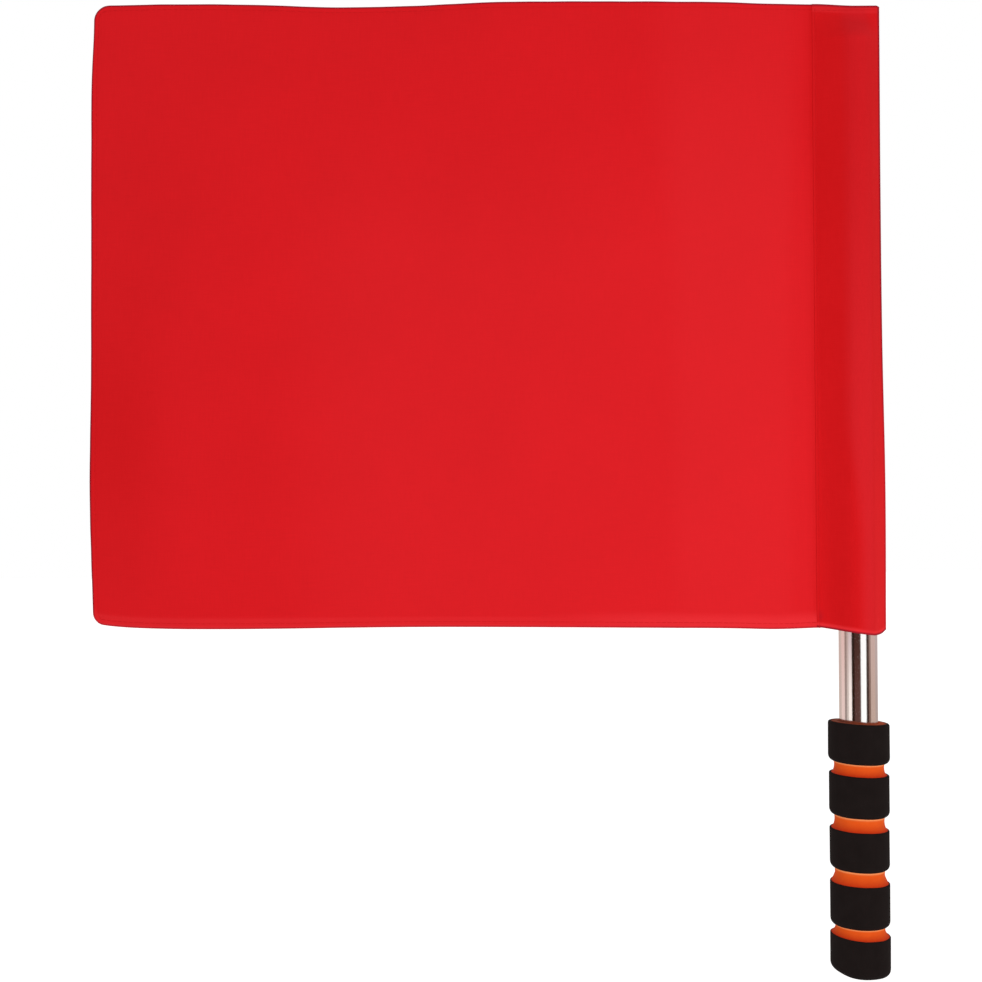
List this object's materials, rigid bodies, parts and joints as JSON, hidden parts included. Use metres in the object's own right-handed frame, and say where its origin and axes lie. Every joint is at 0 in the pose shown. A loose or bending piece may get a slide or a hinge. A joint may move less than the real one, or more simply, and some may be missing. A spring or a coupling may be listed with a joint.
{
  "type": "linesman flag",
  "caption": "Hand-held signal flag: hemmed cloth with a sewn sleeve that turns on a steel tube with a ribbed two-colour foam grip.",
  "frame": {"origin": "on the pole axis at the middle of the foam grip, where the hand holds it", "axes": "+Z along the pole towards its tip; the cloth spreads towards -X in the XZ plane; -Y is the side shown in the picture"},
  "size_m": [0.3983, 0.0302, 0.4864],
  "materials": {
    "steel": "polished stainless tube",
    "plug_plastic": "moulded polyethylene",
    "orange_foam": "closed-cell foam, cut face",
    "black_foam": "closed-cell foam, ground skin",
    "cloth": "woven polyester, matt"
  },
  "bodies": {
    "pole": {"pole_tube": "steel", "tip_plug": "plug_plastic", "butt_plug": "plug_plastic", "grip_core": "orange_foam", "grip_band_1": "black_foam", "grip_band_2": "black_foam", "grip_band_3": "black_foam", "grip_band_4": "black_foam", "grip_end_cap": "black_foam"},
    "flag": {"flag_panel": "cloth", "pole_sleeve": "cloth"}
  },
  "joints": [
    {"name": "flag_turn", "type": "hinge", "parent": "pole", "child": "flag", "pos_m": [0, 0, 0.264], "axis": [0, 0, 1], "continuous": true}
  ]
}
